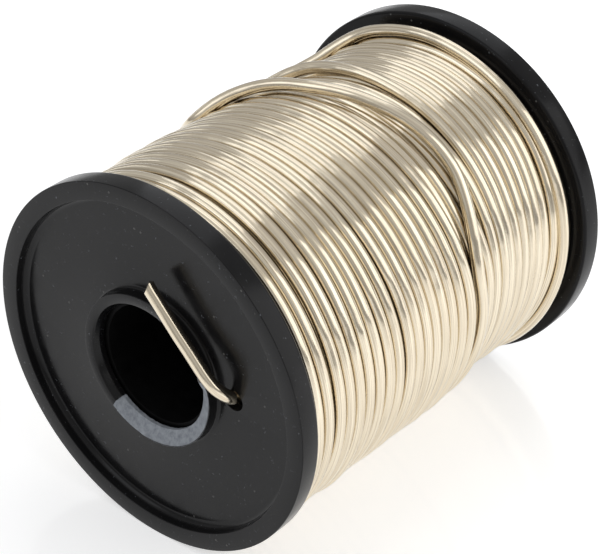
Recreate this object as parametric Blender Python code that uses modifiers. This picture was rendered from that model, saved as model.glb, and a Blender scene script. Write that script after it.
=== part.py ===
"""A reel of thick solder wire: two black moulded flanges on a hub tube, wound
with bare wire whose last turns lie on two levels, and whose starting end comes
out through a hole in one flange.

The reel lies on its rims with its axis along Y and its origin on the axis,
half way between the flanges. The flange that shows its face points to -Y.
Units are metres, +Z is up.
"""

import math

import bmesh
import bpy
from mathutils import Matrix, Vector
from mathutils.kdtree import KDTree

MM = 0.001

# ---------------------------------------------------------------- dimensions
FLANGE_RADIUS = 28.5 * MM        # across the flats of the faceted rim
SPOOL_WIDTH = 68.4 * MM          # over both flange faces
RIM_THICKNESS = 3.4 * MM         # front face of the rim to the winding side
RIM_CORNER = 0.5 * MM            # rounded corner on the winding side
RECESS_RADIUS = 25.65 * MM
RECESS_WALL = 0.75 * MM          # straight wall before its fillet
RECESS_FILLET = 1.0 * MM
WEB_DEPTH = 1.9 * MM             # web's face below the rim's face
COLLAR_RADIUS = 11.8 * MM
COLLAR_FILLET = 0.6 * MM
MOUTH_RADIUS = 10.35 * MM        # where the bore opens on the collar's face
THROAT_RADIUS = 9.75 * MM
THROAT_DEPTH = 1.15 * MM
LIP_DEPTH = 1.8 * MM             # underside of the collar's lip
SOCKET_RADIUS = 10.65 * MM       # takes the hub tube's spigot
TAIL_HOLE_RADIUS = 1.65 * MM
TAIL_HOLE_CENTRE = (14.6 * MM, 1.0 * MM)
COUNTERSINK_OFFSET = 2.85 * MM   # the hand cut countersink is off centre
COUNTERSINK_RADIUS = 9.7 * MM
COUNTERSINK_ANGLE = math.radians(-61)

BARREL_RADIUS = 12.5 * MM
SPIGOT_RADIUS = 10.35 * MM
HUB_BORE_RADIUS = 9.15 * MM

WIRE_RADIUS = 1.0 * MM
GAP = 0.3 * MM                   # between pieces that touch

LOOP_POINTS = 24
UPPER_LEVEL = 26.15 * MM         # centre of the wire in the last, upper layer
LOWER_LEVEL = 25.2 * MM          # centre of the wire where that layer is missing
PROUD_LEVEL = 28.6 * MM          # the turn that crosses over the upper layer
CROSSING_LEVEL = 27.55 * MM      # the turns that cross over the lower level
FAR_TURN_RISE = 0.8 * MM         # the last turn rides up the far flange
WINDING_START = math.radians(-60)
WINDING_TURNS = 23.95

RIM_STEPS = 64
TUBE_STEPS = 48

COLLECTION = "Solder wire spool"

WIRE_COLOUR = (0.62, 0.56, 0.47, 1.0)
FLANGE_COLOUR = (0.012, 0.012, 0.014, 1.0)
HUB_COLOUR = (0.01, 0.01, 0.01, 1.0)


# ------------------------------------------------------------------- helpers
def clear_scene():
    for item in list(bpy.data.objects):
        bpy.data.objects.remove(item, do_unlink=True)


def new_collection(name):
    collection = bpy.data.collections.new(name)
    bpy.context.scene.collection.children.link(collection)
    return collection


def new_material(name, colour, roughness, metallic):
    material = bpy.data.materials.new(name)
    material.use_nodes = True
    shader = material.node_tree.nodes["Principled BSDF"]
    shader.inputs["Base Color"].default_value = colour
    shader.inputs["Roughness"].default_value = roughness
    shader.inputs["Metallic"].default_value = metallic
    return material


def arc(centre, radius, start, end, steps):
    """Points (r, z) along an arc, both ends included; angles in degrees."""
    points = []
    for i in range(steps + 1):
        a = math.radians(start + (end - start) * i / steps)
        points.append((centre[0] + radius * math.cos(a), centre[1] + radius * math.sin(a)))
    return points


def turned(name, profile, steps, material, collection, outwards):
    """A closed (r, z) profile, run down its outer side, turned round the axis.

    The profile's +z points along outwards * Y, away from the winding.
    """
    half_step = math.pi / steps
    mesh = bpy.data.meshes.new(name)
    points = [(r * math.cos(half_step), r * math.sin(half_step), z) for r, z in profile]
    edges = [(i, (i + 1) % len(points)) for i in range(len(points))]
    mesh.from_pydata(points, edges, [])
    piece = bpy.data.objects.new(name, mesh)
    collection.objects.link(piece)
    screw = piece.modifiers.new("Turn", "SCREW")
    screw.axis = "Z"
    screw.steps = steps
    screw.render_steps = steps
    screw.use_merge_vertices = True
    screw.merge_threshold = 0.00001
    piece.rotation_euler = (-outwards * math.pi / 2, 0, 0)
    mesh.materials.append(material)
    return piece


def cut(piece, cutter, label):
    boolean = piece.modifiers.new(label, "BOOLEAN")
    boolean.operation = "DIFFERENCE"
    boolean.solver = "EXACT"
    boolean.object = cutter


def as_cutter(name, mesh, collection):
    cutter = bpy.data.objects.new(name, mesh)
    cutter.hide_render = True
    cutter.display_type = "WIRE"
    collection.objects.link(cutter)
    return cutter


def wire_curve(name, points, resolution, material, collection):
    """A round wire through the points, with flat filled ends."""
    curve = bpy.data.curves.new(name, "CURVE")
    curve.dimensions = "3D"
    curve.bevel_depth = WIRE_RADIUS
    curve.bevel_resolution = resolution
    curve.use_fill_caps = True
    spline = curve.splines.new("POLY")
    spline.points.add(len(points) - 1)
    for target, point in zip(spline.points, points):
        target.co = (point[0], point[1], point[2], 1.0)
    wire = bpy.data.objects.new(name, curve)
    curve.materials.append(material)
    collection.objects.link(wire)
    return wire


def smooth_through(stations, at):
    """Value at a point of a smooth curve through (position, value) stations.

    Each span is a cubic whose end slopes are those of the chords beside it.
    """
    spots = [s[0] for s in stations]
    values = [s[1] for s in stations]
    slopes = []
    for i in range(len(spots)):
        low = max(i - 1, 0)
        high = min(i + 1, len(spots) - 1)
        slopes.append((values[high] - values[low]) / (spots[high] - spots[low]))
    at = min(max(at, spots[0]), spots[-1])
    i = 0
    while i < len(spots) - 2 and at > spots[i + 1]:
        i += 1
    span = spots[i + 1] - spots[i]
    u = (at - spots[i]) / span
    return ((1 + 2 * u) * (1 - u) ** 2 * values[i]
            + u * (1 - u) ** 2 * span * slopes[i]
            + u * u * (3 - 2 * u) * values[i + 1]
            + u * u * (u - 1) * span * slopes[i + 1])


# ------------------------------------------------------------------- flanges
def flange_profile():
    """Ring section of a flange: z = 0 is the rim's outer face."""
    rim = FLANGE_RADIUS / math.cos(math.pi / RIM_STEPS)
    back = -RIM_THICKNESS
    corner = RECESS_RADIUS - RECESS_FILLET
    foot = COLLAR_RADIUS + COLLAR_FILLET
    profile = [(rim, 0.0)]
    profile += arc((rim - RIM_CORNER, back + RIM_CORNER), RIM_CORNER, 0, -90, 3)
    profile += [
        (SOCKET_RADIUS, back),
        (SOCKET_RADIUS, -LIP_DEPTH),
        (THROAT_RADIUS, -LIP_DEPTH),
        (THROAT_RADIUS, -THROAT_DEPTH),
        (MOUTH_RADIUS, 0.0),
        (COLLAR_RADIUS, 0.0),
    ]
    profile += arc((foot, -WEB_DEPTH + COLLAR_FILLET), COLLAR_FILLET, 180, 270, 3)
    profile += arc((corner, -RECESS_WALL - RECESS_FILLET), RECESS_FILLET, -90, 0, 3)
    profile += [(RECESS_RADIUS, 0.0)]
    return profile


def add_flange(name, outwards, material, parts, cutters):
    """One moulding; outwards is -1 for the near flange and 1 for the far one."""
    flange = turned(name, flange_profile(), RIM_STEPS, material, parts, outwards)
    flange.location.y = outwards * SPOOL_WIDTH / 2
    x, z = TAIL_HOLE_CENTRE
    hole = bmesh.new()
    bmesh.ops.create_cone(hole, cap_ends=True, segments=20, radius1=TAIL_HOLE_RADIUS,
                          radius2=TAIL_HOLE_RADIUS, depth=4 * RIM_THICKNESS)
    turn = Matrix.Rotation(math.pi / 2, 4, "X")
    bmesh.ops.transform(hole, matrix=turn, verts=hole.verts)
    mesh = bpy.data.meshes.new(name + " tail hole")
    hole.to_mesh(mesh)
    hole.free()
    cutter = as_cutter(name + " tail hole", mesh, cutters)
    cutter.location = (x, outwards * SPOOL_WIDTH / 2, z)
    cut(flange, cutter, "Tail hole")
    return flange


def add_countersink(flange, cutters):
    """A skewed cone: round on the axis at the throat, off centre at the face."""
    bottom = 0.97 * THROAT_RADIUS
    top = COUNTERSINK_RADIUS
    above = 0.5                      # how far past the face it runs, in depths
    depth = THROAT_DEPTH * (1 + above)
    cone = bmesh.new()
    bmesh.ops.create_cone(cone, cap_ends=True, segments=TUBE_STEPS, radius1=bottom,
                          radius2=top, depth=depth)
    shift = COUNTERSINK_OFFSET * (1 + above)
    for vert in cone.verts:
        if vert.co.z > 0:
            vert.co.x += shift * math.cos(COUNTERSINK_ANGLE)
            vert.co.y += shift * math.sin(COUNTERSINK_ANGLE)
        vert.co.z += depth / 2 - THROAT_DEPTH
    mesh = bpy.data.meshes.new("countersink")
    cone.to_mesh(mesh)
    cone.free()
    cutter = as_cutter("countersink", mesh, cutters)
    cutter.location.y = -SPOOL_WIDTH / 2
    cutter.rotation_euler = (math.pi / 2, 0, 0)
    cut(flange, cutter, "Countersink")


# ----------------------------------------------------------------------- hub
def add_hub_tube(material, parts):
    """Barrel between the flanges, with a spigot into each flange's socket."""
    barrel = SPOOL_WIDTH / 2 - RIM_THICKNESS - GAP
    spigot = SPOOL_WIDTH / 2 - LIP_DEPTH - GAP
    profile = [
        (SPIGOT_RADIUS, spigot),
        (SPIGOT_RADIUS, barrel),
        (BARREL_RADIUS, barrel),
        (BARREL_RADIUS, -barrel),
        (SPIGOT_RADIUS, -barrel),
        (SPIGOT_RADIUS, -spigot),
        (HUB_BORE_RADIUS, -spigot),
        (HUB_BORE_RADIUS, spigot),
    ]
    return turned("hub_tube", profile, TUBE_STEPS, material, parts, 1)


# ------------------------------------------------------------------- winding
# Where the wire is along the axis, in mm from the middle of the reel, after
# so many turns. It lies level for 14 turns. Then it climbs on the hidden side,
# comes back over its neighbours, crosses them forwards over the top and drops
# in beside the last of them. From there it fills the lower level to the far
# end, and two more turns cross over their neighbours in the same way.
ALONG = [
    (0.0, -29.5), (13.8, 4.63), (14.2, 5.6), (14.28, 5.75), (14.34, 5.5), (14.38, 4.7),
    (14.41, 1.5), (14.44, -2.2), (14.465, -4.4), (14.483, -3.7), (14.497, -2.3), (14.514, -0.3),
    (14.536, 1.4), (14.568, 2.75), (14.594, 4.3), (14.622, 5.8), (14.651, 7.2), (14.667, 7.75),
    (14.708, 8.25), (14.75, 7.75), (14.792, 7.25), (14.84, 7.25), (15.1, 7.87), (15.79, 9.57),
    (16.2, 10.55), (16.8, 12.03), (17.2, 13.02), (17.3, 13.1), (17.335, 12.6), (17.375, 10.4),
    (17.417, 7.4), (17.445, 6.6), (17.472, 7.8), (17.5, 10.2), (17.52, 11.7), (17.542, 12.6),
    (17.583, 13.4), (17.625, 13.95), (17.71, 14.38), (17.8, 14.47), (18.2, 15.5), (18.8, 17.0),
    (22.8, 26.9), (23.2, 27.9), (23.3, 27.8), (23.335, 26.8), (23.375, 23.2), (23.417, 19.4),
    (23.445, 19.0), (23.472, 22.0), (23.5, 26.2), (23.52, 27.7), (23.542, 28.5), (23.583, 29.2),
    (23.65, 29.5), (23.95, 29.5),
]


def radius_stations():
    """Distance of the wire's centre from the axis, by turns."""
    stations = [
        (0.0, UPPER_LEVEL), (14.2, UPPER_LEVEL), (14.25, UPPER_LEVEL + 0.15 * MM),
        (14.34, UPPER_LEVEL + 1.6 * MM), (14.37, PROUD_LEVEL - 0.1 * MM),
        (14.39, PROUD_LEVEL), (14.69, PROUD_LEVEL), (14.715, PROUD_LEVEL - 0.35 * MM),
        (14.78, UPPER_LEVEL + 0.1 * MM), (14.81, UPPER_LEVEL), (14.86, UPPER_LEVEL),
        (15.1, LOWER_LEVEL), (17.2, LOWER_LEVEL),
    ]
    stations += crossing_stations(17)
    stations += [
        (17.64, LOWER_LEVEL + 0.7 * MM), (17.72, LOWER_LEVEL + 0.3 * MM), (17.9, LOWER_LEVEL),
        (23.2, LOWER_LEVEL),
    ]
    stations += crossing_stations(23)
    stations += [(23.7, LOWER_LEVEL + FAR_TURN_RISE), (23.95, LOWER_LEVEL + FAR_TURN_RISE)]
    return stations


def crossing_stations(turn):
    """Up over the lower level behind, across over the top, and down in front."""
    return [
        (turn + 0.25, LOWER_LEVEL + 0.6 * MM), (turn + 0.295, CROSSING_LEVEL - 0.3 * MM),
        (turn + 0.33, CROSSING_LEVEL), (turn + 0.53, CROSSING_LEVEL),
        (turn + 0.565, CROSSING_LEVEL - 0.6 * MM), (turn + 0.6, LOWER_LEVEL + 1.2 * MM),
    ]


def winding_point(turn):
    """Centre of the wire: its angle falls as it moves to the far flange."""
    angle = WINDING_START - 2 * math.pi * turn
    radius = smooth_through(radius_stations(), turn)
    along = smooth_through(ALONG, turn) * MM
    return Vector((radius * math.cos(angle), along, radius * math.sin(angle)))


def straight_end(points):
    """One more point, one wire diameter straight on."""
    return points[-1] + (points[-1] - points[-2]).normalized() * 2 * WIRE_RADIUS


def least_gap(points, loop_points):
    """Least distance between the surfaces of turns, on points along the chords."""
    fine = []
    for a, b in zip(points, points[1:]):
        for i in range(4):
            fine.append(a.lerp(b, i / 4))
    apart = 4 * loop_points // 2
    tree = KDTree(len(fine))
    for i, point in enumerate(fine):
        tree.insert(point, i)
    tree.balance()
    least = 1.0
    for i, point in enumerate(fine):
        for _, j, distance in tree.find_range(point, 4 * WIRE_RADIUS):
            if abs(i - j) > apart:
                least = min(least, distance)
    return least - 2 * WIRE_RADIUS


def add_winding(material, parts):
    steps = int(WINDING_TURNS * LOOP_POINTS)
    points = [winding_point(i / LOOP_POINTS) for i in range(steps + 1)]
    points.append(straight_end(points))
    points.reverse()
    points.append(straight_end(points))
    points.reverse()
    wire_curve("wire_outer_layer", points, 1, material, parts)
    gap = least_gap(points, LOOP_POINTS)
    print("wire_outer_layer: %.2f turns, least gap to itself %.2f mm"
          % (WINDING_TURNS, gap / MM))


def add_inner_layers(material, parts):
    """The layers below the last one, as one turned block on the barrel."""
    end = SPOOL_WIDTH / 2 - RIM_THICKNESS - GAP
    under_upper = UPPER_LEVEL * math.cos(math.pi / LOOP_POINTS) - WIRE_RADIUS - GAP
    under_lower = LOWER_LEVEL * math.cos(math.pi / LOOP_POINTS) - WIRE_RADIUS - GAP
    bore = BARREL_RADIUS + GAP
    step = 6.2 * MM
    profile = [
        (under_lower, end),
        (under_lower, step + 0.4 * MM),
        (under_upper, step),
        (under_upper, -end),
        (bore, -end),
        (bore, end),
    ]
    return turned("wire_inner_layers", profile, TUBE_STEPS, material, parts, 1)


# The starting end, from the winding side of the near flange out through its
# hole: x, depth below the flange's face, z, in mm.
TAIL_ROUTE = [
    (14.6, 3.4, 1.0), (14.6, 2.4, 1.0), (14.6, 1.4, 1.0), (14.58, 0.65, 1.6),
    (14.35, 0.0, 2.85), (13.75, -0.75, 4.35), (12.8, -1.25, 5.75), (11.58, -1.3, 6.8),
    (9.83, -1.3, 8.45), (8.1, -1.3, 10.1), (6.34, -1.3, 11.87), (4.6, -1.3, 13.69),
    (2.93, -1.3, 15.45), (2.33, -1.3, 16.31),
]


def add_tail(material, parts):
    """The wire's start: square through the hole, a bend, a straight run."""
    count = len(TAIL_ROUTE) - 1
    steps = 2 * count
    axes = []
    for axis in range(3):
        axes.append([(i, point[axis]) for i, point in enumerate(TAIL_ROUTE)])
    face = -SPOOL_WIDTH / 2
    points = []
    for i in range(steps + 1):
        x, depth, z = (smooth_through(axis, count * i / steps) * MM for axis in axes)
        points.append(Vector((x, face + depth, z)))
    wire_curve("wire_start_tail", points, 2, material, parts)


def main():
    clear_scene()
    parts = new_collection(COLLECTION)
    cutters = new_collection(COLLECTION + " cutters")
    black = new_material("black moulded plastic", FLANGE_COLOUR, 0.35, 0.0)
    tube = new_material("black hub plastic", HUB_COLOUR, 0.5, 0.0)
    solder = new_material("solder wire", WIRE_COLOUR, 0.3, 1.0)
    near = add_flange("near_flange", -1, black, parts, cutters)
    add_countersink(near, cutters)
    add_flange("far_flange", 1, black, parts, cutters)
    add_hub_tube(tube, parts)
    add_inner_layers(solder, parts)
    add_winding(solder, parts)
    add_tail(solder, parts)


main()
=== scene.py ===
# %% [markdown]
# # A reel of solder wire
#
# Two black moulded flanges sit on a hub tube, and bare solder wire as thick as a
# matchstick is wound between them. This notebook dresses the plain CAD model of
# that reel: every piece is worked out again with its small roundings, cuts and
# turns of wire, then gets its material, and last come the floor, the lights and
# the camera. The first cell loads the CAD model, which is never changed.

# %% Load the CAD model
import math

import bmesh
import bpy
import numpy as np
from mathutils import Matrix, Vector


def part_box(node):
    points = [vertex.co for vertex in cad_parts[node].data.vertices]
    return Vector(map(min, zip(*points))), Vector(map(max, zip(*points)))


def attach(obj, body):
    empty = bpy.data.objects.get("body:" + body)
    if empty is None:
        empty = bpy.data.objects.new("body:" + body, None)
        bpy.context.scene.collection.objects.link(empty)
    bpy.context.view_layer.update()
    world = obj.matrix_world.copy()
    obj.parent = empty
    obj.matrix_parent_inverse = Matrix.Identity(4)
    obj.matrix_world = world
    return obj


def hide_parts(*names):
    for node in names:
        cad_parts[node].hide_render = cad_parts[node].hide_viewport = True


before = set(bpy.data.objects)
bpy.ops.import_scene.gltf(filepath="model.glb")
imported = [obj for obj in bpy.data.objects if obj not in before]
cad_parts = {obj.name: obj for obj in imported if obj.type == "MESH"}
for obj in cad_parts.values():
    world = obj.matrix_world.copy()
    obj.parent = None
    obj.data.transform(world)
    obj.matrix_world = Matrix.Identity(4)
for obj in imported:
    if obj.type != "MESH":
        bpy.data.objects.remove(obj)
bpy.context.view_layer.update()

# %% [markdown]
# ## Sizes
#
# The CAD model gives the main sizes: the flange's radius R, the places of the two
# outer faces and the rim's thickness. Small sizes are written in millimetres.
# Places on the winding are shares of R, measured from the near rim's outer face
# towards the far flange, so that one number tells where a strand lies. A flange's
# depth is measured from its own outer face towards the middle of the reel.

# %% Main measures
MM = 0.001
near_low, near_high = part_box("near_flange")
R = round(near_high.x, 6)
NEAR_FACE = near_low.y
FAR_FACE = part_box("far_flange")[1].y
RIM_THICKNESS = near_high.y - near_low.y
print("flange radius %.1f mm, %.1f mm over the faces, rim %.1f mm thick"
      % (R / MM, (FAR_FACE - NEAR_FACE) / MM, RIM_THICKNESS / MM))

# %% [markdown]
# ## Grids
#
# A turned or wound piece is a grid: one direction runs along its section, the
# other along its path. These helpers turn such a grid of points into a mesh
# object. The faces come from the grid's numbering alone, so no loop ever visits
# a vertex.

# %% Helpers: from a grid of points to a piece
def grid_faces(rows, columns, closed_rows=False, closed_columns=False):
    """Four-cornered faces between neighbours of a rows x columns grid of points.

    Point (i, j) has the number i * columns + j; a closed direction joins its
    last line of points to its first.
    """
    i = np.arange(rows if closed_rows else rows - 1)
    j = np.arange(columns if closed_columns else columns - 1)
    i, j = np.meshgrid(i, j, indexing="ij")
    down, right = (i + 1) % rows, (j + 1) % columns
    corners = [i * columns + j, i * columns + right, down * columns + right, down * columns + j]
    return np.stack(corners, axis=-1).reshape(-1, 4)


def new_piece(name, points, faces, extra_faces=()):
    """A mesh object from an array of points and one of four-cornered faces."""
    mesh = bpy.data.meshes.new(name)
    mesh.from_pydata(points.reshape(-1, 3).tolist(), [], faces.tolist() + list(extra_faces))
    mesh.validate()
    mesh.update()
    piece = bpy.data.objects.new(name, mesh)
    bpy.context.scene.collection.objects.link(piece)
    return piece


def face_outwards(piece):
    """Every face of a closed shell points out of it."""
    shell = bmesh.new()
    shell.from_mesh(piece.data)
    bmesh.ops.recalc_face_normals(shell, faces=shell.faces)
    shell.to_mesh(piece.data)
    shell.free()


def shade(piece, sharp_over):
    """Smooth shading that breaks at edges sharper than so many degrees."""
    piece.data.shade_smooth()
    piece.data.set_sharp_from_angle(angle=math.radians(sharp_over))


def arc(centre_r, centre_d, radius, start, end, steps):
    """Points (r, depth) along an arc, both ends included; angles in degrees."""
    a = np.radians(np.linspace(start, end, steps + 1))
    return np.stack([centre_r + radius * np.cos(a), centre_d + radius * np.sin(a)], axis=1)


def smooth_step(x, low, high):
    """0 below low, 1 above high, and a smooth S between them."""
    t = np.clip((x - low) / (high - low), 0.0, 1.0)
    return t * t * (3 - 2 * t)


# %% [markdown]
# ## The flanges
#
# Each flange is one injection moulding: a flat rim, a shallow round recess with
# a rounded foot, and a collar round the bore that stands as high as the rim. A
# ring like this could be drawn as a profile and spun. Here the section is a list
# of (radius, depth) points, and the grid carries it round the axis, because a
# grid lets the bore's edge be cut back more on one side than on the other.

# %% The section of a flange
RECESS_RADIUS = 25.65 * MM
WEB_DEPTH = 1.9 * MM
COLLAR_RADIUS = 11.8 * MM
MOUTH_RADIUS = 10.33 * MM
LEDGE_RADIUS = 9.75 * MM
LEDGE_DEPTH = 1.15 * MM
LIP_DEPTH = 1.8 * MM
SOCKET_RADIUS = 10.65 * MM
RIM_CORNER = 0.5 * MM


def flange_section():
    """Points (r, depth) round the section of a flange, from the bore's mouth outwards.

    Straight runs join quarter arcs of 0.1 to 1 mm at each corner; depth 0 is
    the rim's outer face.
    """
    soft = 0.12 * MM
    foot = 0.6 * MM
    fillet = 1.0 * MM
    outer = R - RIM_CORNER
    runs = [
        arc(COLLAR_RADIUS - soft, soft, soft, -90, 0, 4),
        arc(COLLAR_RADIUS + foot, WEB_DEPTH - foot, foot, 180, 90, 6),
        arc(RECESS_RADIUS - fillet, WEB_DEPTH - fillet, fillet, 90, 0, 10),
        arc(RECESS_RADIUS + soft, soft, soft, 180, 270, 4),
        arc(R - soft, soft, soft, -90, 0, 4),
        arc(outer, RIM_THICKNESS - RIM_CORNER, RIM_CORNER, 0, 90, 6),
        np.array([[SOCKET_RADIUS, RIM_THICKNESS]]),
        np.array([[SOCKET_RADIUS, LIP_DEPTH]]),
        np.array([[LEDGE_RADIUS, LIP_DEPTH]]),
    ]
    return np.concatenate(runs)


section = flange_section()
print("a flange's section has %d points" % len(section))

# %% [markdown]
# The near flange's bore was opened by hand, which left a rough crescent round
# the lower half of its mouth. Its pale, bluish colour is partly the scraped
# plastic's own whitening and partly a painted reflection of the lamps above. A
# texture could paint it, but the cut also moves the edge of the hole. So the
# mouth's radius is a function of the angle round the axis, counted from +X on
# the right towards +Z above.

# %% The mouth of the bore
TRIM_STARTS, TRIM_ENDS = -129.75, 15.9
TRIM_LEAST = 0.364
TRIM_STEPS = [(0.022, -130, -116), (0.028, -120, -88), (-0.052, 2, 18)]
RAGGED_POINTS = 121
RAGGEDNESS = 0.002


def bore_mouth(angle, trimmed):
    """Radius of the bore's mouth on the collar's face, by the angle round the axis.

    A plain mouth is a circle. A trimmed one is cut back between two angles, in
    degrees: it starts narrow at the lower left, widens in two steps to the
    collar's own edge, and closes again on the right. Each step changes the
    radius by a share of R over a smooth S between two angles. The edge wanders
    along straight lines between random points.
    """
    plain = np.full_like(angle, MOUTH_RADIUS)
    if not trimmed:
        return plain
    degrees = (np.degrees(angle) + 180) % 360 - 180
    cut = np.full_like(angle, TRIM_LEAST)
    for change, low, high in TRIM_STEPS:
        cut += change * smooth_step(degrees, low, high)
    wander = np.random.default_rng(3).uniform(-1, 1, RAGGED_POINTS)
    cut += RAGGEDNESS * np.interp(angle, np.linspace(0, 2 * np.pi, RAGGED_POINTS), wander)
    inside = (degrees > TRIM_STARTS) & (degrees < TRIM_ENDS)
    return np.where(inside, np.maximum(cut * R, plain), plain)


widest = bore_mouth(np.linspace(0, 2 * np.pi, 720), True).max()
print("the bore's mouth is %.2f mm in radius, and %.2f mm where it is cut back most"
      % (MOUTH_RADIUS / MM, widest / MM))

# %% The grid of a flange
FLANGE_STEPS = 540
MOUTH_POINTS = 6  # on the mouth's cone and its edge, before those of the section


def flange_points(trimmed):
    """Grid of a flange's points: angle by place on the section, and the part that is trimmed.

    The mouth's cone runs in equal steps from the ledge to the collar's face. The
    section's first point is kept a little outside the mouth's edge.
    """
    angle = np.linspace(0, 2 * np.pi, FLANGE_STEPS, endpoint=False)
    mouth = bore_mouth(angle, trimmed)
    soft = 0.08 * MM
    share = np.array([0.0, 0.25, 0.5, 0.75, 1.0])
    cone_r = LEDGE_RADIUS + (mouth - soft - LEDGE_RADIUS)[:, None] * share
    cone_d = LEDGE_DEPTH - (LEDGE_DEPTH - soft) * share + 0 * cone_r
    edge_r = (mouth + 0.5 * soft)[:, None]
    edge_d = 0 * edge_r
    radius = np.concatenate([cone_r, edge_r, np.tile(section[:, 0], (FLANGE_STEPS, 1))], axis=1)
    depth = np.concatenate([cone_d, edge_d, np.tile(section[:, 1], (FLANGE_STEPS, 1))], axis=1)
    mouth_edge = radius[:, MOUTH_POINTS - 1] + 0.02 * MM
    radius[:, MOUTH_POINTS] = np.maximum(radius[:, MOUTH_POINTS], mouth_edge)
    cut_back = smooth_step(mouth, MOUTH_RADIUS + 0.05 * MM, MOUTH_RADIUS + 0.15 * MM)
    scraped = np.zeros_like(radius)
    scraped[:, :MOUTH_POINTS] = cut_back[:, None]
    return angle, radius, depth, scraped


def add_flange(name, face, inwards, trimmed):
    """A flange with its outer face at y = face; inwards is the sign of Y into the reel.

    A point at radius r, angle a and depth d lies at x = r cos a, y = face + inwards * d
    and z = r sin a. The attribute "scraped" is 1 where the mouth was cut back.
    """
    angle, radius, depth, scraped = flange_points(trimmed)
    points = np.stack([radius * np.cos(angle)[:, None],
                       face + inwards * depth,
                       radius * np.sin(angle)[:, None]], axis=-1)
    rows, columns = radius.shape
    piece = new_piece(name, points, grid_faces(rows, columns, True, True))
    mark = piece.data.attributes.new("scraped", "FLOAT", "POINT")
    mark.data.foreach_set("value", scraped.ravel().astype(np.float32))
    face_outwards(piece)
    return piece


near_flange = add_flange("near_flange_moulding", NEAR_FACE, 1, True)
far_flange = add_flange("far_flange_moulding", FAR_FACE, -1, False)
print("near flange: %d faces" % len(near_flange.data.polygons))

# %% [markdown]
# A small round hole goes through the web of both mouldings. On the near side the
# wire's starting end comes out through it. The hole is a Boolean with a short
# rod, and the cut mesh is kept in place of the modifier.

# %% The hole for the wire's end
TAIL_HOLE_RADIUS = 1.65 * MM
TAIL_HOLE_X, TAIL_HOLE_Z = 14.6 * MM, 1.0 * MM
ROD_REACH = 5 * MM  # past the flange's face on both sides


def add_rod(name, x, z, y_from, y_to, radius, steps=48):
    """A round rod along Y: a circle of points at each end, closed by one many-sided face."""
    a = np.linspace(0, 2 * np.pi, steps, endpoint=False)
    ring = np.stack([x + radius * np.cos(a), 0 * a, z + radius * np.sin(a)], axis=1)
    points = np.stack([ring + [0, y_from, 0], ring + [0, y_to, 0]])
    caps = [tuple(range(steps)), tuple(range(steps, 2 * steps))]
    rod = new_piece(name, points, grid_faces(2, steps, False, True), caps)
    face_outwards(rod)
    return rod


def cut_away(piece, cutter):
    """The piece less the cutter, as a plain mesh; the cutter is deleted."""
    boolean = piece.modifiers.new("Hole", "BOOLEAN")
    boolean.object = cutter
    boolean.solver = "EXACT"
    graph = bpy.context.evaluated_depsgraph_get()
    piece.data = bpy.data.meshes.new_from_object(piece.evaluated_get(graph))
    piece.modifiers.clear()
    bpy.data.objects.remove(cutter, do_unlink=True)


for piece, face in ((near_flange, NEAR_FACE), (far_flange, FAR_FACE)):
    rod = add_rod("hole", TAIL_HOLE_X, TAIL_HOLE_Z, face - ROD_REACH, face + ROD_REACH,
                  TAIL_HOLE_RADIUS)
    cut_away(piece, rod)
    shade(piece, 35)
    print(piece.name, "has", len(piece.data.vertices), "points after the hole is cut")

# %% [markdown]
# ## The hub tube
#
# A plain tube joins the flanges. Its ends plug into a socket behind each collar,
# so only its rim shows in the bore, a little below the collar's lip. Its section
# is turned round the axis in the same way.

# %% Hub tube
HUB_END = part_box("hub_tube")[1].y
BARREL_RADIUS = 12.5 * MM
SPIGOT_RADIUS = 10.35 * MM
HUB_BORE = 9.15 * MM
HUB_STEPS = 180
FIT_GAP = 0.3 * MM


def ring_piece(name, radius, along, steps):
    """A closed section of (radius, along Y) points carried round the axis.

    A point at radius r and angle a lies at x = r cos a, z = r sin a.
    """
    angle = np.linspace(0, 2 * np.pi, steps, endpoint=False)[:, None]
    points = np.stack([radius * np.cos(angle), along + 0 * angle, radius * np.sin(angle)], axis=-1)
    piece = new_piece(name, points, grid_faces(steps, len(radius), True, True))
    face_outwards(piece)
    return piece


def hub_section():
    """Half of the tube's section, then the same mirrored: spigot, shoulder, barrel."""
    end = HUB_END
    shoulder = FAR_FACE - RIM_THICKNESS - FIT_GAP
    soft = 0.15 * MM
    half = np.array([
        (HUB_BORE, 0.0), (HUB_BORE, end - soft), (HUB_BORE + 0.3 * soft, end - 0.3 * soft),
        (HUB_BORE + soft, end), (SPIGOT_RADIUS - soft, end),
        (SPIGOT_RADIUS - 0.3 * soft, end - 0.3 * soft), (SPIGOT_RADIUS, end - soft),
        (SPIGOT_RADIUS, shoulder), (BARREL_RADIUS, shoulder), (BARREL_RADIUS, 0.0),
    ])
    return np.concatenate([half[:-1], half[::-1][:-1] * [1, -1]])


hub_shape = hub_section()
hub_tube = ring_piece("hub_tube_moulding", hub_shape[:, 0], hub_shape[:, 1], HUB_STEPS)
shade(hub_tube, 35)
print("hub tube bore %.1f mm across" % (2 * HUB_BORE / MM))

# %% [markdown]
# ## The wire
#
# The winding is one length of wire. What shows is its last layer: some thirty
# turns, each a little tilted, because the wire is fed along while the reel
# spins. The first seventeen turns lie on a full layer. Then one strand climbs over
# its neighbours, crosses them and drops back, and from there the turns lie half
# a wire lower up to the far flange. A curve with a bevel would do for a coil of
# equal turns. Here the wire's centre is a smooth function of the turn it is on,
# drawn through a few stations in each turn, and a circle is carried along it.

# %% A smooth curve through stations
WIRE_RADIUS = 0.955 * MM


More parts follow.
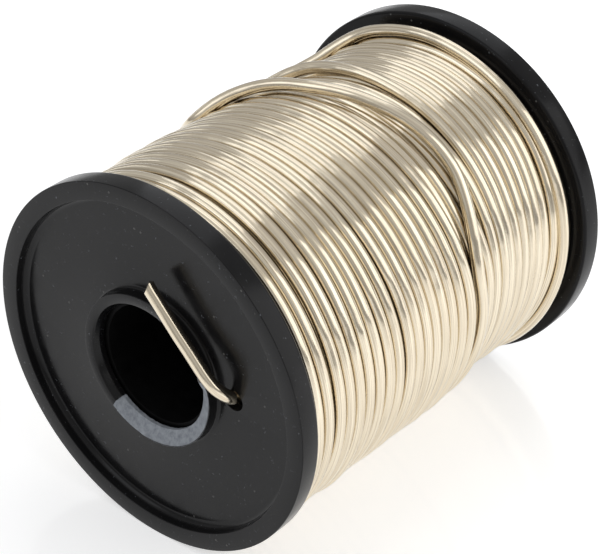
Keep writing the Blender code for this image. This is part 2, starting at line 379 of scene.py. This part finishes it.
def through(at, value, x):
    """Smooth curve through the values at some places.

    It is cubic between two places, and its slope at each place is numpy's
    gradient of the values there, so the spans join without a kink.
    """
    slope = np.gradient(value, at)
    x = np.clip(x, at[0], at[-1])
    i = np.clip(np.searchsorted(at, x, side="right") - 1, 0, len(at) - 2)
    span = at[i + 1] - at[i]
    t = (x - at[i]) / span
    return ((1 + 2 * t) * (1 - t) ** 2 * value[i] + t * (1 - t) ** 2 * span * slope[i]
            + t * t * (3 - 2 * t) * value[i + 1] + t * t * (t - 1) * span * slope[i + 1])


print("the wire is %.2f mm thick" % (2 * WIRE_RADIUS / MM))

# %% [markdown]
# Each turn has five stations, at angles counted from +X towards +Z: two over the
# top, two on the side of +X, which is called the front here, and one below it. A
# station says how far along the axis and how far from it the wire's centre lies
# there. A little random slack keeps the turns from looking machined.

# %% Where each turn lies
STATION_ANGLES = np.array([105.0, 75.0, 45.0, 10.0, -20.0])
FRONT_ANGLE = 10.0
UPPER_LEVEL = 0.924
LOWER_LEVEL = 0.890
TILT = 0.078
SAG = 0.013
HOLLOW = 0.022
SLACK = (0.0025, 0.0035)

# Centres of the turns on the upper level, at the front.
UPPER_TURNS = np.array([0.186, 0.256, 0.344, 0.416, 0.491, 0.564, 0.638, 0.713, 0.789, 0.868,
                        0.942, 1.012, 1.080, 1.146, 1.213, 1.286, 1.360])
# The turns on the lower level, at each station angle.
LOWER_TURNS = np.array([
    (1.475, 1.500, 1.525, 1.572, 1.560), (1.585, 1.620, 1.640, 1.638, 1.620),
    (1.675, 1.690, 1.692, 1.687, 1.684), (1.755, 1.780, 1.778, 1.764, 1.742),
    (1.817, 1.842, 1.844, 1.824, 1.800), (1.885, 1.908, 1.910, 1.884, 1.858),
    (1.945, 1.974, 1.976, 1.946, 1.915), (2.005, 2.038, 2.040, 2.005, 1.970),
    (2.070, 2.095, 2.090, 2.058, 2.022), (2.160, 2.175, 2.174, 2.140, 2.100),
    (2.235, 2.243, 2.245, 2.243, 2.235), (2.190, 2.205, 2.205, 2.190, 2.170),
])


def upper_stations(turns):
    """Place of each turn at each station angle: its centre and the tilt of its lay.

    The tilt grows from nothing beside the near flange to TILT between the top
    and the front.
    """
    tilt = (TILT * smooth_step(turns, 0.35, 1.0))[:, None]
    share = np.interp(-STATION_ANGLES, [-105, -75, -45, -10, 20], [-1.06, -0.84, -0.48, 0, 0.1])
    return turns[:, None] + tilt * share


upper = upper_stations(UPPER_TURNS)
lay = np.concatenate([upper, np.full((1, len(STATION_ANGLES)), np.nan), LOWER_TURNS])
sag = SAG * np.cos(np.radians(STATION_ANGLES + 50))
hollow = HOLLOW * smooth_step(STATION_ANGLES, 60, 105)
level = np.where(np.arange(len(lay))[:, None] <= len(UPPER_TURNS), UPPER_LEVEL + sag,
                 LOWER_LEVEL - hollow)
turns = np.arange(len(lay))[:, None] - (STATION_ANGLES - FRONT_ANGLE) / 360
kept = np.isfinite(lay)
stations = np.stack([turns[kept], lay[kept], level[kept]], axis=1)
slack = np.random.default_rng(11).uniform(-1, 1, (len(stations), 2)) * SLACK
stations[:, 1:] += slack
print("%d turns across %.1f mm" % (len(lay), R * (lay[-2, 0] - lay[0, 0]) / MM))

# %% [markdown]
# Three strands leave their own place. Behind the reel each climbs on its
# neighbours and runs across them towards the near flange, and over the top it
# returns. No formula gives such a stray route, so it is a list of given stations,
# and the same smooth curve runs through them.

# %% The strands that cross over their neighbours
# Each row: degrees wound since the front of the turn before, place along the
# axis, and distance from the axis, the last two in shares of R.
FIRST_CROSSING = [
    (142, 1.397, 0.920), (171, 1.402, 0.938), (192, 1.393, 0.970), (206, 1.365, 0.992),
    (217, 1.250, 0.985), (227, 1.130, 0.948), (233, 1.065, 0.932), (240, 1.035, 0.940),
    (244, 1.085, 0.958), (249, 1.145, 0.973), (255, 1.200, 0.982), (263, 1.250, 0.990),
    (269, 1.277, 0.993), (275, 1.303, 0.993), (284, 1.363, 0.993), (294, 1.424, 0.992),
    (304, 1.484, 0.988), (310, 1.510, 0.984), (318, 1.530, 0.975), (325, 1.532, 0.968),
    (333, 1.508, 0.960), (340, 1.483, 0.952), (348, 1.460, 0.945), (355, 1.452, 0.940),
    (370, 1.466, 0.935), (400, 1.465, 0.930),
]
SECOND_CROSSING = [
    (165, 1.650, 0.895), (178, 1.660, 0.912), (190, 1.642, 0.935), (205, 1.565, 0.948),
    (220, 1.465, 0.938), (230, 1.450, 0.918), (236, 1.480, 0.910), (240, 1.515, 0.912),
    (246, 1.558, 0.920), (251, 1.588, 0.928), (256, 1.614, 0.933), (263, 1.637, 0.935),
    (270, 1.648, 0.935), (277, 1.660, 0.932), (283, 1.670, 0.927), (290, 1.682, 0.920),
    (297, 1.694, 0.913), (325, 1.708, 0.902), (360, 1.706, 0.895),
]
LAST_CROSSING = [
    (165, 2.230, 0.905), (178, 2.215, 0.925), (190, 2.160, 0.940), (205, 2.014, 0.952),
    (220, 1.880, 0.945), (229, 1.870, 0.925), (235, 1.930, 0.908), (240, 2.000, 0.905),
    (243, 2.050, 0.912), (246, 2.095, 0.920), (249, 2.130, 0.926), (255, 2.165, 0.932),
    (262, 2.175, 0.935), (268, 2.182, 0.937), (275, 2.189, 0.938), (295, 2.195, 0.936),
    (325, 2.194, 0.934), (360, 2.182, 0.930), (390, 2.165, 0.925),
]


def with_crossing(stations, turn_before, rows):
    """The stations with those of a crossing strand in place of the ones it passes."""
    rows = np.array(rows, float) * [1 / 360, 1, 1] + [turn_before, 0, 0]
    outside = (stations[:, 0] < rows[0, 0]) | (stations[:, 0] > rows[-1, 0])
    stations = np.concatenate([stations[outside], rows])
    return stations[np.argsort(stations[:, 0])]


last_upper = len(UPPER_TURNS) - 1
for turn_before, rows in ((last_upper, FIRST_CROSSING), (last_upper + 3, SECOND_CROSSING),
                          (len(lay) - 2, LAST_CROSSING)):
    stations = with_crossing(stations, turn_before, rows)
print("the last layer has %d stations" % len(stations))


# %% Carry a circle along the wire
def tube_grid(path, radius, sides, reference):
    """Rings of points round a path: centre + radius * (cos * out + sin * across).

    At each point, out is the reference direction made square to the path, and
    across is square to both.
    """
    along_path = np.gradient(path, axis=0)
    along_path /= np.linalg.norm(along_path, axis=1, keepdims=True)
    out = reference - (reference * along_path).sum(1, keepdims=True) * along_path
    out /= np.linalg.norm(out, axis=1, keepdims=True)
    across = np.cross(along_path, out)
    a = np.linspace(0, 2 * np.pi, sides, endpoint=False)
    ring = np.cos(a)[None, :, None] * out[:, None] + np.sin(a)[None, :, None] * across[:, None]
    return path[:, None] + np.broadcast_to(radius, (len(path),))[:, None, None] * ring


def add_length_map(piece, length, sides):
    """The UV map "along_wire": the length along the wire in its own girths, and the share round it.

    A face across the seam has corners at the start and at the end of the round;
    those at the start get a whole round more, so that the pattern doesn't run
    backwards through the face.
    """
    faces = len(piece.data.polygons)
    corner = np.empty(len(piece.data.loops), np.int32)
    piece.data.loops.foreach_get("vertex_index", corner)
    corners_in = np.empty(faces, np.int32)
    piece.data.polygons.foreach_get("loop_total", corners_in)
    face_of = np.repeat(np.arange(faces), corners_in)
    side = (corner % sides) / sides
    first = np.full(faces, 2.0)
    np.minimum.at(first, face_of, side)
    last = np.full(faces, -1.0)
    np.maximum.at(last, face_of, side)
    wraps = (last[face_of] - first[face_of] > 0.5) & (side < 0.5)
    uv = np.stack([length[corner // sides] / (2 * math.pi * WIRE_RADIUS), side + wraps], axis=1)
    layer = piece.data.uv_layers.new(name="along_wire")
    layer.data.foreach_set("uv", uv.ravel().astype(np.float32))


def add_wire(name, path, radius, sides, reference):
    """A wire along a path, closed at both ends, and its length."""
    grid = tube_grid(path, radius, sides, reference)
    rows = len(path)
    caps = [tuple(range(sides)), tuple(range((rows - 1) * sides, rows * sides))]
    piece = new_piece(name, grid, grid_faces(rows, sides, False, True), caps)
    steps = np.linalg.norm(np.diff(path, axis=0), axis=1)
    length = np.concatenate([[0], np.cumsum(steps)])
    add_length_map(piece, length, sides)
    face_outwards(piece)
    shade(piece, 50)
    return piece, length[-1]


def wind(name, stations, start, end, steps_per_turn, sides):
    """A wire wound through stations of (turn, place along the axis, level).

    At turn t the wire's centre is at the front angle less 360 degrees times t,
    at level(t) * R from the axis and at place(t) * R from the near face.
    """
    turn = np.linspace(start, end, int((end - start) * steps_per_turn))
    angle = np.radians(FRONT_ANGLE) - 2 * np.pi * turn
    along = through(stations[:, 0], stations[:, 1], turn)
    out = through(stations[:, 0], stations[:, 2], turn)
    radial = np.stack([np.cos(angle), 0 * angle, np.sin(angle)], axis=1)
    path = radial * (out * R)[:, None]
    path[:, 1] = NEAR_FACE + along * R
    piece, length = add_wire(name, path, WIRE_RADIUS, sides, radial)
    print("%s: %.2f m of wire in %d faces" % (name, length, len(piece.data.polygons)))
    return piece


top_layer = wind("solder_top_layer", stations, -0.5, len(lay) - 0.6, 150, 14)

# %% [markdown]
# Below the last layer there is room for seven or eight more. Slits between its
# turns show the next one, whose turns lie in the hollows between those above. It
# is wound in the same way, and sinks where the last layer lies lower. The rest
# is hidden, so it is one plain ring with a step down.

# %% The layer below
BELOW_COUNT, BELOW_FIRST, BELOW_PITCH = 29, 0.220, 0.0705
below = BELOW_FIRST + BELOW_PITCH * np.arange(BELOW_COUNT)
covered = smooth_step(below, 1.52, 1.56)
lifted = 0.026 * smooth_step(below, 1.38, 1.42) * (1 - smooth_step(below, 1.42, 1.56))
below_level = 0.863 + 0.016 * smooth_step(below, 1.30, 1.46) - 0.052 * covered
below_level = below_level[:, None] + lifted[:, None] * [0.3, 1.0, 1.0, 0.0, 0.0]
below_lay = upper_stations(below) + 0.03 * covered[:, None]
below_turns = np.arange(BELOW_COUNT)[:, None] - (STATION_ANGLES - FRONT_ANGLE) / 360
below_stations = np.stack([below_turns.ravel(), below_lay.ravel(), below_level.ravel()], axis=1)
layer_below = wind("solder_layer_below", below_stations, -0.3, BELOW_COUNT - 0.6, 96, 8)

# %% The ring inside
RING_HIGH, RING_LOW = 0.800 * R, 0.760 * R
STEP_STARTS, STEP_ENDS = 6.0 * MM, 7.0 * MM
ring_end = FAR_FACE - RIM_THICKNESS - FIT_GAP
ring_foot = BARREL_RADIUS + FIT_GAP
ring_r = np.array([ring_foot, RING_HIGH, RING_HIGH, RING_LOW, RING_LOW, ring_foot])
ring_y = np.array([-ring_end, -ring_end, STEP_STARTS, STEP_ENDS, ring_end, ring_end])
inner_layers = ring_piece("solder_inner_layers", ring_r, ring_y, 96)
shade(inner_layers, 60)
print("the ring inside is %.1f mm long" % (2 * ring_end / MM))

# %% [markdown]
# ## The starting end
#
# The wire's starting end comes out of the hole in the near flange, turns up and
# runs straight past the bore. Its route is a short list of stations, and a circle
# is carried along it as before. Side cutters leave two flat facets that meet in
# an edge, so two planes cut the end.

# %% The starting end
TAIL_STATIONS = [  # x, depth, z as shares of R
    (0.512, 0.120, 0.036), (0.514, 0.090, 0.042), (0.517, 0.060, 0.056), (0.516, 0.030, 0.078),
    (0.504, 0.000, 0.108), (0.480, -0.024, 0.142), (0.446, -0.036, 0.180), (0.400, -0.038, 0.225),
    (0.335, -0.036, 0.286), (0.274, -0.036, 0.344), (0.213, -0.036, 0.407), (0.152, -0.036, 0.471),
    (0.093, -0.036, 0.533), (0.072, -0.036, 0.563),
]
TAIL_STEPS = 160
TAIL_SIDES = 24
TAIL_OUTWARDS = (0.6, -0.5, 0.6)
place = np.linspace(0, len(TAIL_STATIONS) - 1, TAIL_STEPS)
tail_x, tail_d, tail_z = (through(np.arange(len(TAIL_STATIONS)), column, place) * R
                          for column in np.array(TAIL_STATIONS).T)
tail_path = np.stack([tail_x, NEAR_FACE + tail_d, tail_z], axis=1)
tail, tail_length = add_wire("solder_starting_end", tail_path, WIRE_RADIUS, TAIL_SIDES,
                             np.tile(TAIL_OUTWARDS, (TAIL_STEPS, 1)))


# %% The cut
CUT_SEEN_FROM = Vector((0.54, -0.63, 0.56))


def snip(piece, point, normal):
    """Take away what lies beyond a plane, and close the cut with one flat face."""
    shell = bmesh.new()
    shell.from_mesh(piece.data)
    everything = [*shell.verts, *shell.edges, *shell.faces]
    cut = bmesh.ops.bisect_plane(shell, geom=everything, plane_co=point, plane_no=normal,
                                 clear_outer=True)
    rim = [part for part in cut["geom_cut"] if isinstance(part, bmesh.types.BMEdge)]
    bmesh.ops.edgenet_fill(shell, edges=rim)
    shell.to_mesh(piece.data)
    shell.free()


tip = Vector(tail_path[-1])
along = Vector(tail_path[-1] - tail_path[-5]).normalized()
to_right = along.cross(CUT_SEEN_FROM).normalized()
edge = tip + 0.35 * WIRE_RADIUS * to_right
snip(tail, edge, along - 0.9 * to_right)
snip(tail, edge, along + 0.3 * to_right)
face_outwards(tail)
shade(tail, 40)
print("the starting end is %.0f mm long" % (tail_length / MM))

# %% [markdown]
# ## Each piece stands for its CAD node
#
# Every new piece moves with the reel's only body and takes the place of a CAD
# node. The layer below and the ring inside share a node, because the CAD model has
# all the hidden layers as one block.

# %% Ride and replace
for piece, node, slot in (
    (near_flange, "near_flange", "flange"),
    (far_flange, "far_flange", "flange"),
    (hub_tube, "hub_tube", "hub"),
    (top_layer, "wire_outer_layer", "solder_wire"),
    (layer_below, "wire_inner_layers", "solder_wire"),
    (inner_layers, "wire_inner_layers", "solder_wire"),
    (tail, "wire_start_tail", "solder_wire"),
):
    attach(piece, "root")
    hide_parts(node)
    print(piece.name, "stands for", node)


# %% [markdown]
# ## Materials
#
# A material is a small net of nodes: patterns on the left, one Principled BSDF on
# the right. The helpers below make a node, join two sockets, or build a stretch
# of net that comes back often, such as noise or a colour ramp. A world has a net
# of nodes too, so the same helpers serve the light of the room.

# %% Helpers: nodes
def new_material(name, **sockets):
    """A material with one Principled BSDF; sockets are set by their names with _ for spaces."""
    material = bpy.data.materials.new(name)
    material.use_nodes = True
    shader = material.node_tree.nodes["Principled BSDF"]
    for socket, value in sockets.items():
        shader.inputs[socket.replace("_", " ")].default_value = value
    return material, shader


def add_node(material, kind, **values):
    """A node; a value goes to the input of that name, or else to the node's own setting."""
    node = material.node_tree.nodes.new("ShaderNode" + kind)
    for name, value in values.items():
        socket = name.replace("_", " ")
        if socket in node.inputs:
            node.inputs[socket].default_value = value
        else:
            setattr(node, name, value)
    return node


def join(material, source, target):
    """A link from an output to an input."""
    material.node_tree.links.new(source, target)


def feed(material, value, target):
    """An input gets a link from an output, or a plain value."""
    if isinstance(value, bpy.types.NodeSocket):
        join(material, value, target)
    else:
        target.default_value = value


# %% Helpers: patterns, colours and sums
def mapped(material, vector, **settings):
    """The coordinates of a pattern, turned or stretched."""
    node = add_node(material, "Mapping", **settings)
    join(material, vector, node.inputs["Vector"])
    return node.outputs["Vector"]


def noise(material, vector, scale, detail=3.0, roughness=0.5):
    """Cloudy noise between 0 and 1."""
    node = add_node(material, "TexNoise", Scale=scale, Detail=detail, Roughness=roughness)
    join(material, vector, node.inputs["Vector"])
    return node.outputs["Fac"]


def ramp(material, value, stops):
    """A colour ramp on a value; stops are (place, grey or colour)."""
    node = add_node(material, "ValToRGB")
    elements = node.color_ramp.elements
    while len(elements) < len(stops):
        elements.new(0.5)
    for element, (place, colour) in zip(elements, stops):
        element.position = place
        element.color = (*colour, 1.0) if np.ndim(colour) else (colour,) * 3 + (1.0,)
    join(material, value, node.inputs["Fac"])
    return node.outputs["Color"]


def blend(material, share, first, second, blend_type="MIX"):
    """One colour over another by a share from 0 to 1."""
    node = add_node(material, "Mix", data_type="RGBA", blend_type=blend_type)
    for value, socket in zip((share, first, second), (node.inputs[0], *node.inputs[6:8])):
        feed(material, value, socket)
    return node.outputs[2]


def calculate(material, operation, *values, clamped=False):
    """A Math node on its two or three values."""
    node = add_node(material, "Math", operation=operation, use_clamp=clamped)
    for value, socket in zip(values, node.inputs):
        feed(material, value, socket)
    return node.outputs[0]


def product(material, first, second):
    """Two values multiplied, and the result kept between 0 and 1."""
    return calculate(material, "MULTIPLY", first, second, clamped=True)


def bump(material, height, distance, strength=1.0, under=None):
    """The surface's normal after a pattern of heights, on top of an earlier normal."""
    node = add_node(material, "Bump", Strength=strength, Distance=distance)
    join(material, height, node.inputs["Height"])
    if under is not None:
        join(material, under, node.inputs["Normal"])
    return node.outputs["Normal"]


def seen_directly(material):
    """1 for rays from the camera, from a mirror or through glass, and 0 for other rays."""
    rays = add_node(material, "LightPath")
    total = rays.outputs["Is Camera Ray"]
    for kind in ("Is Glossy Ray", "Is Transmission Ray"):
        total = calculate(material, "ADD", total, rays.outputs[kind], clamped=True)
    return total


# %% [markdown]
# ### Black plastic
#
# The flanges are a semi-gloss black moulding with pale specks of dust and small
# nicks; only the specks are made here. Painted dots would need a picture, so the
# specks are the middles of cells in a flat Voronoi pattern that is laid across the
# reel's axis. On a surface that runs along the axis such a pattern would draw
# lines, so the specks are kept to the faces that look along it.

# %% Black plastic: colour and dust
plastic, plastic_shader = new_material("black_moulded_plastic", Metallic=0.0, IOR=1.45,
                                       Specular_IOR_Level=0.235)
where = add_node(plastic, "TexCoord").outputs["Object"]
along_axis = mapped(plastic, where, Rotation=(math.pi / 2, 0, 0))
black = ramp(plastic, noise(plastic, where, 90.0),
             [(0.3, (0.006, 0.006, 0.0065)), (0.7, (0.011, 0.0105, 0.011))])


def dust(material, vector, per_metre, size, share):
    """Small round specks: the middles of some cells of a Voronoi pattern.

    Size is a part of a cell's width, and share is how many cells have a speck.
    """
    cells = add_node(material, "TexVoronoi", voronoi_dimensions="2D", Scale=per_metre)
    join(material, vector, cells.inputs["Vector"])
    dots = ramp(material, cells.outputs["Distance"], [(0.6 * size, 1.0), (size, 0.0)])
    picked = ramp(material, cells.outputs["Color"], [(1 - share - 0.02, 0.0), (1 - share, 1.0)])
    return product(material, dots, picked)


COARSE_SPECKS = (380.0, 0.07, 0.2)
FINE_SPECKS = (900.0, 0.10, 0.12)
normal = add_node(plastic, "SeparateXYZ")
join(plastic, add_node(plastic, "NewGeometry").outputs["Normal"], normal.inputs[0])
faces_the_axis = ramp(plastic, product(plastic, normal.outputs["Y"], normal.outputs["Y"]),
                      [(0.8, 0.0), (0.95, 1.0)])
coarse = product(plastic, dust(plastic, along_axis, *COARSE_SPECKS), faces_the_axis)
fine = product(plastic, dust(plastic, along_axis, *FINE_SPECKS), faces_the_axis)
dusty = blend(plastic, coarse, black, (0.11, 0.11, 0.105, 1.0))
dusty = blend(plastic, fine, dusty, (0.045, 0.045, 0.045, 1.0))
for per_metre, size, share in (COARSE_SPECKS, FINE_SPECKS):
    print("specks %.2f mm across in %.0f%% of the cells"
          % (2 * size / per_metre / MM, 100 * share))

# %% [markdown]
# Where the mouth of the bore was cut back, the plastic is pale, bluish and dull:
# partly whitened by the scraping and partly a painted reflection of the lamps
# above. The mesh says where with its attribute "scraped", and noise frays the
# edge of the patch: the attribute is stretched, the noise is taken off, and a
# steep ramp makes the rest 0 or 1.

# %% Black plastic: the scraped mouth with its painted reflection, and the gloss
scraped = add_node(plastic, "Attribute", attribute_name="scraped").outputs["Fac"]
stretched = calculate(plastic, "MULTIPLY_ADD", scraped, 1.5, 0.5)
frayed = calculate(plastic, "SUBTRACT", stretched, noise(plastic, where, 1500.0, 4.0, 0.7))
scraped_and_reflection_share = ramp(plastic, frayed, [(0.15, 0.0), (0.35, 1.0)])
# Pale and bluish: scraped plastic with a painted reflection of the lamps above.
scraped_pale_and_painted_reflection = ramp(plastic, noise(plastic, where, 1200.0, 5.0, 0.7),
             [(0.3, (0.21, 0.225, 0.255)), (0.55, (0.34, 0.365, 0.40)),
              (0.75, (0.42, 0.445, 0.48))])
shiny = ramp(plastic, noise(plastic, where, 400.0), [(0.3, 0.15), (0.7, 0.25)])
join(plastic, blend(plastic, scraped_and_reflection_share, dusty, scraped_pale_and_painted_reflection), plastic_shader.inputs["Base Color"])
join(plastic, blend(plastic, scraped_and_reflection_share, shiny, (0.6, 0.6, 0.6, 1.0)),
     plastic_shader.inputs["Roughness"])
near_flange.data.materials.append(plastic)
print(plastic.name, "has", len(plastic.node_tree.nodes), "nodes")

# %% [markdown]
# The far flange is the same plastic. A copy of the material keeps every pattern,
# and only the strength of its reflections is lowered, which makes the far flange
# darker: painted shade.

# %% Plastic with painted shade for the far flange
far_plastic_painted_shade = plastic.copy()
far_plastic_painted_shade.name = "black_moulded_plastic_painted_shade"
# Painted shade: weaker reflections than the near flange's plastic.
far_plastic_painted_shade.node_tree.nodes["Principled BSDF"].inputs["Specular IOR Level"].default_value = 0.155
far_flange.data.materials.append(far_plastic_painted_shade)
print(far_plastic_painted_shade.name, "is a copy of", plastic.name)

# %% [markdown]
# ### Hub plastic
#
# The tube's wall is deep in the bore, where hardly any light comes back out. It is
# almost black, darker than the flanges' plastic, and reflects less: painted shade
# for the depth of the bore. It is half matt, with a slow noise in both its colour
# and its gloss.

# %% Hub plastic
hub_plastic, hub_shader = new_material("black_tube_plastic", Metallic=0.0, IOR=1.45,
                                       Specular_IOR_Level=0.06)
where = add_node(hub_plastic, "TexCoord").outputs["Object"]
# Painted shade: darker than the flanges' black, for the depth of the bore.
hub_black_and_painted_shade = ramp(hub_plastic, noise(hub_plastic, where, 600.0),
                 [(0.3, (0.002, 0.002, 0.002)), (0.7, (0.004, 0.004, 0.004))])
half_matt = ramp(hub_plastic, noise(hub_plastic, where, 300.0), [(0.3, 0.5), (0.7, 0.65)])
join(hub_plastic, hub_black_and_painted_shade, hub_shader.inputs["Base Color"])
join(hub_plastic, half_matt, hub_shader.inputs["Roughness"])
hub_tube.data.materials.append(hub_plastic)
print(hub_plastic.name, "is on", hub_tube.name)

# %% [markdown]
# ### Solder
#
# Solder wire is drawn through a die, so fine lines run along it, and it is soft,
# so it dents and kinks as it is wound. The patterns follow the wire's own UV map,
# where one unit is one girth of wire: noise that is stretched along the wire
# makes the drawn lines. Between the turns the colour is darkened as painted
# shade, and ambient occlusion finds those places by itself.

# %% Solder: metal and painted shade between the turns
solder, solder_shader = new_material("drawn_solder", Metallic=1.0)
on_wire = add_node(solder, "UVMap", uv_map="along_wire").outputs["UV"]
where = add_node(solder, "TexCoord").outputs["Object"]
streaks = noise(solder, mapped(solder, on_wire, Scale=(0.25, 40.0, 1.0)), 1.0, 4.0)
metal = ramp(solder, streaks, [(0.38, (0.62, 0.535, 0.405)), (0.5, (0.76, 0.67, 0.52)),
                               (0.62, (0.85, 0.765, 0.61))])
openness = add_node(solder, "AmbientOcclusion", Distance=1.0 * MM, samples=8).outputs["AO"]
# Painted shade: the wire's colour darkens where ambient occlusion finds the gaps between turns.
painted_gap_shade = ramp(solder, openness, [(0.04, (0.30, 0.245, 0.165)), (0.15, (0.34, 0.28, 0.19)),
                                (0.46, (1.0, 1.0, 1.0))])
join(solder, blend(solder, 1.0, metal, painted_gap_shade, "MULTIPLY"), solder_shader.inputs["Base Color"])
polish = ramp(solder, noise(solder, where, 250.0), [(0.3, 0.11), (0.7, 0.22)])
join(solder, polish, solder_shader.inputs["Roughness"])
print(solder.name, "has its patterns on", on_wire.node.uv_map)

# %% [markdown]
# Three bumps lie one on another: small dents everywhere, slow kinks along each
# strand, and the drawn lines, which are the finest.

# %% Solder: dents, kinks and drawn lines
dents = bump(solder, noise(solder, where, 900.0, 4.0, 0.6), 0.03 * MM, strength=0.35)
slow = mapped(solder, on_wire, Scale=(0.4, 0.0, 1.0))
kinks = bump(solder, noise(solder, slow, 1.0, 2.0), 1.4 * MM, under=dents)
drawn_lines = bump(solder, streaks, 0.016 * MM, under=kinks)
join(solder, drawn_lines, solder_shader.inputs["Normal"])
for piece in (top_layer, layer_below, inner_layers, tail):
    piece.data.materials.append(solder)
    print(piece.name, "is", solder.name)

# %% [markdown]
# ## Floor, light and camera
#
# The reel lies on a glossy white floor that holds its shadow and a soft mirror
# image. The floor also glows a little, but only for rays from the camera, from a
# mirror or through glass, so that it looks white and lights nothing else.

# %% Floor
FLOOR_REACH = 3.0
FLOOR_LIFT = 0.5
corners = np.array([(-1, -1), (1, -1), (1, 1), (-1, 1)]) * FLOOR_REACH
floor = new_piece("floor", np.column_stack([corners, np.full(4, -R)]), np.array([(0, 1, 2, 3)]))
floor_paint, floor_shader = new_material("white_floor", Roughness=0.12, IOR=1.5)
floor_shader.inputs["Base Color"].default_value = (0.85, 0.85, 0.85, 1.0)
floor_shader.inputs["Emission Color"].default_value = (1, 1, 1, 1)
lift = calculate(floor_paint, "MULTIPLY", seen_directly(floor_paint), FLOOR_LIFT)
join(floor_paint, lift, floor_shader.inputs["Emission Strength"])
floor.data.materials.append(floor_paint)
print("the floor is at %.1f mm" % (-R / MM))

# %% [markdown]
# Bright wire shows its surroundings, so it needs some. A tent of grey cloth
# stands over the reel, dark near the floor and lighter at the top. The camera
# doesn't see it, it casts no shadow and lights nothing by itself: it is there for
# reflections alone.

# %% Grey tent
TENT_RADIUS = 2.0
TENT_GLOW = [(0.0, 0.32), (0.3, 0.50), (0.8, 0.58), (1.0, 0.80)]  # (share of height, grey)


def add_tent(radius, rings=16, segments=48):
    """A dome over the reel: points at equal steps of height angle and of the angle round it."""
    up = np.radians(np.linspace(0, 89, rings))[:, None]
    about = np.linspace(0, 2 * np.pi, segments, endpoint=False)[None, :]
    points = radius * np.stack([np.cos(up) * np.cos(about), np.cos(up) * np.sin(about),
                                np.sin(up) + 0 * about], axis=-1)
    points[..., 2] -= R
    top = [tuple(range((rings - 1) * segments, rings * segments))]
    return new_piece("grey_tent", points, grid_faces(rings, segments, False, True), top)


tent = add_tent(TENT_RADIUS)
for ray in ("camera", "diffuse", "transmission", "shadow", "volume_scatter"):
    setattr(tent, "visible_" + ray, False)
print("the tent has %d faces" % len(tent.data.polygons))

# %% The tent's cloth
cloth, cloth_shader = new_material("grey_tent_cloth", Specular_IOR_Level=0.0,
                                   Emission_Strength=1.0)
cloth_shader.inputs["Base Color"].default_value = (0, 0, 0, 1)
above = add_node(cloth, "SeparateXYZ")
join(cloth, add_node(cloth, "TexCoord").outputs["Object"], above.inputs[0])
share_of_height = calculate(cloth, "DIVIDE", above.outputs["Z"], TENT_RADIUS)
glow = ramp(cloth, share_of_height, TENT_GLOW)
join(cloth, glow, cloth_shader.inputs["Emission Color"])
tent.data.materials.append(cloth)
print("the tent glows from %.2f at the floor to %.2f at the top"
      % (TENT_GLOW[0][1], TENT_GLOW[-1][1]))

# %% [markdown]
# The world behind everything is white to those same rays, and lights the reel at
# less than half of that.

# %% World
SKY_LIGHT = 0.45
world = bpy.data.worlds.new("white_room")
bpy.context.scene.world = world
world.use_nodes = True
background = world.node_tree.nodes["Background"]
background.inputs["Color"].default_value = (1, 1, 1, 1)
sky = add_node(world, "MapRange", To_Min=SKY_LIGHT, To_Max=1.0)
join(world, seen_directly(world), sky.inputs["Value"])
join(world, sky.outputs["Result"], background.inputs["Strength"])
print("the world lights the reel at", SKY_LIGHT)

# %% [markdown]
# Four softboxes make the bright bands along the winding. A softbox is a lamp with
# an area, and a round wire shows it as a thin line, so their places decide which
# side of each turn shines. The largest stands on the right; the others are
# slightly blue, which cools the sides that they light.

# %% Lights
LAMP_DISTANCE = 0.9
COOL = (0.97, 1.0, 1.05)


def add_softbox(name, azimuth, elevation, width, height, brightness, lean=0, tint=(1, 1, 1)):
    """A rectangular lamp that faces the reel; lean turns it on its own axis.

    Azimuth 0 is +X and 90 is +Y, in degrees. Its power is pi * area * brightness,
    so that brightness says the same for a large lamp and a small one.
    """
    a, e = math.radians(azimuth), math.radians(elevation)
    back = Vector((math.cos(a) * math.cos(e), math.sin(a) * math.cos(e), math.sin(e)))
    lamp = bpy.data.lights.new(name, "AREA")
    lamp.shape = "RECTANGLE"
    lamp.size = width
    lamp.size_y = height
    lamp.energy = math.pi * width * height * brightness
    lamp.color = tint
    facing = back.to_track_quat("Z", "Y").to_matrix().to_4x4()
    leaning = Matrix.Rotation(math.radians(lean), 4, "Z")
    box = bpy.data.objects.new(name, lamp)
    box.matrix_world = Matrix.Translation(back * LAMP_DISTANCE) @ facing @ leaning
    box.visible_camera = False
    bpy.context.scene.collection.objects.link(box)
    print("%s: %.1f W" % (name, lamp.energy))


add_softbox("right_softbox", 21, 27, 1.12, 0.76, 1.15, lean=-24)
add_softbox("front_softbox", -110, 45, 0.62, 0.62, 0.92, tint=COOL)
add_softbox("left_softbox", 176, 13, 0.14, 0.36, 0.75, tint=COOL)
add_softbox("rear_softbox", 117, 50, 0.6, 0.95, 0.8, tint=COOL)

# %% [markdown]
# The camera looks down on the near flange from the right. Its place is worked out
# from three directions: back towards the camera, right, and up in the picture.
# A long lens keeps the two flanges almost the same size.

# %% Camera
AZIMUTH, ELEVATION = math.radians(40.4486), math.radians(33.8279)
DISTANCE, ASIDE, ABOVE = 11.475, -0.0314, -0.0537  # shares of R
back = Vector((math.sin(AZIMUTH) * math.cos(ELEVATION),
               -math.cos(AZIMUTH) * math.cos(ELEVATION), math.sin(ELEVATION)))
right = Vector((math.cos(AZIMUTH), math.sin(AZIMUTH), 0))
up = back.cross(right)
lens = bpy.data.cameras.new("camera")
lens.sensor_width = 36.0
lens.lens = 132.92
camera = bpy.data.objects.new("camera", lens)
turned = Matrix((right, up, back)).transposed().to_4x4()
centre = (DISTANCE * back + ASIDE * right + ABOVE * up) * R
camera.matrix_world = Matrix.Translation(centre) @ turned
bpy.context.scene.collection.objects.link(camera)
bpy.context.scene.camera = camera
bpy.context.scene.view_settings.view_transform = "Standard"
print("the camera is %.0f mm from the reel" % (centre.length / MM))
